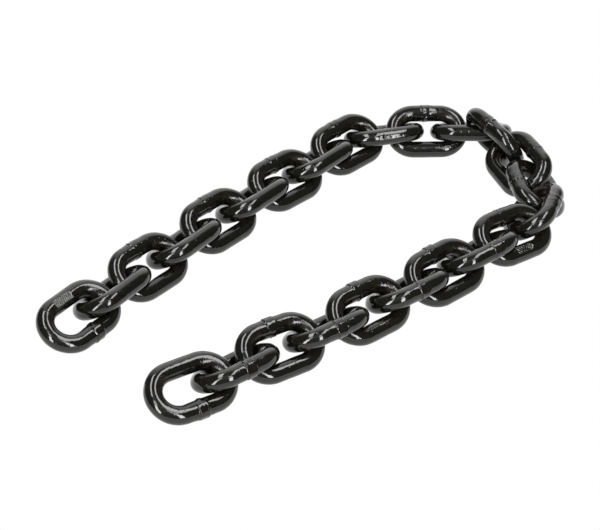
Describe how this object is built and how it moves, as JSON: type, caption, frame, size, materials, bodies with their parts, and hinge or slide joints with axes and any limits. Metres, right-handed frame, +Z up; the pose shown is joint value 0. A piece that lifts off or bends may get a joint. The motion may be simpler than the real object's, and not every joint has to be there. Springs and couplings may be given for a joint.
{
  "type": "short-link chain",
  "caption": "U-shaped length of glossy black welded short-link lifting chain lying on a flat surface, every link a separate solid hinged to its neighbour",
  "frame": {"origin": "middle of the footprint, on the surface the chain lies on", "axes": "+Z up, +X from the two free ends towards the bend, +Y from the near strand towards the far strand"},
  "size_m": [0.3754, 0.3507, 0.0429],
  "materials": {
    "lacquered_steel": "thick glossy black lacquer over welded round steel"
  },
  "bodies": {
    "link_01": {"link_01": "lacquered_steel"},
    "link_02": {"link_02": "lacquered_steel"},
    "link_03": {"link_03": "lacquered_steel"},
    "link_04": {"link_04": "lacquered_steel"},
    "link_05": {"link_05": "lacquered_steel"},
    "link_06": {"link_06": "lacquered_steel"},
    "link_07": {"link_07": "lacquered_steel"},
    "link_08": {"link_08": "lacquered_steel"},
    "link_09": {"link_09": "lacquered_steel"},
    "link_10": {"link_10": "lacquered_steel"},
    "link_11": {"link_11": "lacquered_steel"},
    "link_12": {"link_12": "lacquered_steel"},
    "link_13": {"link_13": "lacquered_steel"},
    "link_14": {"link_14": "lacquered_steel"},
    "link_15": {"link_15": "lacquered_steel"},
    "link_16": {"link_16": "lacquered_steel"},
    "link_17": {"link_17": "lacquered_steel"},
    "link_18": {"link_18": "lacquered_steel"},
    "link_19": {"link_19": "lacquered_steel"},
    "link_20": {"link_20": "lacquered_steel"},
    "link_21": {"link_21": "lacquered_steel"},
    "link_22": {"link_22": "lacquered_steel"},
    "link_23": {"link_23": "lacquered_steel"},
    "link_24": {"link_24": "lacquered_steel"},
    "link_25": {"link_25": "lacquered_steel"}
  },
  "joints": [
    {"name": "swing_01_02", "type": "hinge", "parent": "link_02", "child": "link_01", "pos_m": [-0.1545, -0.06922, 0.0163], "axis": [0.3305, -0.288, 0.8988], "range_deg": [-60, 60]},
    {"name": "swing_02_03", "type": "hinge", "parent": "link_03", "child": "link_02", "pos_m": [-0.1331, -0.04112, 0.0164], "axis": [0.4312, -0.3281, -0.8405], "range_deg": [-60, 60]},
    {"name": "swing_03_04", "type": "hinge", "parent": "link_04", "child": "link_03", "pos_m": [-0.1096, -0.01332, 0.0157], "axis": [-0.415, 0.3329, -0.8468], "range_deg": [-60, 60]},
    {"name": "swing_04_05", "type": "hinge", "parent": "link_05", "child": "link_04", "pos_m": [-0.0866, 0.01528, 0.016], "axis": [0.4201, -0.3371, -0.8425], "range_deg": [-60, 60]},
    {"name": "swing_05_06", "type": "hinge", "parent": "link_06", "child": "link_05", "pos_m": [-0.0539, 0.05148, 0.0156], "axis": [-0.401, 0.3519, 0.8458], "range_deg": [-60, 60]},
    {"name": "swing_06_07", "type": "hinge", "parent": "link_07", "child": "link_06", "pos_m": [-0.0391, 0.06938, 0.0157], "axis": [0.401, -0.3519, -0.8458], "range_deg": [-60, 60]},
    {"name": "swing_07_08", "type": "hinge", "parent": "link_08", "child": "link_07", "pos_m": [-0.0049, 0.10268, 0.0154], "axis": [-0.3869, 0.3473, 0.8542], "range_deg": [-60, 60]},
    {"name": "swing_08_09", "type": "hinge", "parent": "link_09", "child": "link_08", "pos_m": [0.0089, 0.11788, 0.0159], "axis": [0.3869, -0.3473, -0.8542], "range_deg": [-60, 60]},
    {"name": "swing_09_10", "type": "hinge", "parent": "link_10", "child": "link_09", "pos_m": [0.0331, 0.14178, 0.0154], "axis": [-0.3314, 0.4141, -0.8478], "range_deg": [-60, 60]},
    {"name": "swing_10_11", "type": "hinge", "parent": "link_11", "child": "link_10", "pos_m": [0.0659, 0.15248, 0.0156], "axis": [0.1206, -0.4719, -0.8734], "range_deg": [-60, 60]},
    {"name": "swing_11_12", "type": "hinge", "parent": "link_12", "child": "link_11", "pos_m": [0.1132, 0.15558, 0.0149], "axis": [-0.0081, 0.4816, 0.8763], "range_deg": [-36, 10]},
    {"name": "swing_12_13", "type": "hinge", "parent": "link_13", "child": "link_12", "pos_m": [0.1331, 0.15748, 0.0184], "axis": [-0.0081, 0.4816, 0.8763], "range_deg": [-42, 12]},
    {"name": "swing_13_14", "type": "hinge", "parent": "link_13", "child": "link_14", "pos_m": [0.1462, 0.12628, 0.0219], "axis": [-0.7861, -0.4665, -0.4054], "range_deg": [-60, 60]},
    {"name": "swing_14_15", "type": "hinge", "parent": "link_14", "child": "link_15", "pos_m": [0.1653, 0.08308, 0.0169], "axis": [0.438, 0.0525, 0.8974], "range_deg": [-15, 60]},
    {"name": "swing_15_16", "type": "hinge", "parent": "link_15", "child": "link_16", "pos_m": [0.166, 0.05178, 0.0164], "axis": [-0.5512, 0.2393, 0.7993], "range_deg": [-60, 60]},
    {"name": "swing_16_17", "type": "hinge", "parent": "link_16", "child": "link_17", "pos_m": [0.1518, 0.01988, 0.0194], "axis": [0.2943, -0.3463, 0.8908], "range_deg": [-60, 60]},
    {"name": "swing_17_18", "type": "hinge", "parent": "link_17", "child": "link_18", "pos_m": [0.1242, 0.00018, 0.0192], "axis": [0.3843, -0.4225, -0.8209], "range_deg": [-60, 60]},
    {"name": "swing_18_19", "type": "hinge", "parent": "link_18", "child": "link_19", "pos_m": [0.1087, -0.01092, 0.0159], "axis": [-0.3843, 0.4225, 0.8209], "range_deg": [-60, 60]},
    {"name": "swing_19_20", "type": "hinge", "parent": "link_19", "child": "link_20", "pos_m": [0.072, -0.04092, 0.0153], "axis": [0.3346, -0.4423, -0.8321], "range_deg": [-60, 60]},
    {"name": "swing_20_21", "type": "hinge", "parent": "link_20", "child": "link_21", "pos_m": [0.0552, -0.05362, 0.0157], "axis": [-0.3346, 0.4423, 0.8321], "range_deg": [-60, 60]},
    {"name": "swing_21_22", "type": "hinge", "parent": "link_21", "child": "link_22", "pos_m": [0.0167, -0.08252, 0.0156], "axis": [-0.3254, 0.468, 0.8217], "range_deg": [-60, 60]},
    {"name": "swing_22_23", "type": "hinge", "parent": "link_22", "child": "link_23", "pos_m": [-0.0024, -0.09522, 0.0154], "axis": [0.3254, -0.468, -0.8217], "range_deg": [-60, 60]},
    {"name": "swing_23_24", "type": "hinge", "parent": "link_23", "child": "link_24", "pos_m": [-0.0331, -0.11412, 0.0155], "axis": [0.2833, -0.4228, 0.8608], "range_deg": [-60, 60]},
    {"name": "swing_24_25", "type": "hinge", "parent": "link_24", "child": "link_25", "pos_m": [-0.0603, -0.13602, 0.0162], "axis": [-0.3153, 0.423, 0.8495], "range_deg": [-60, 60]}
  ]
}
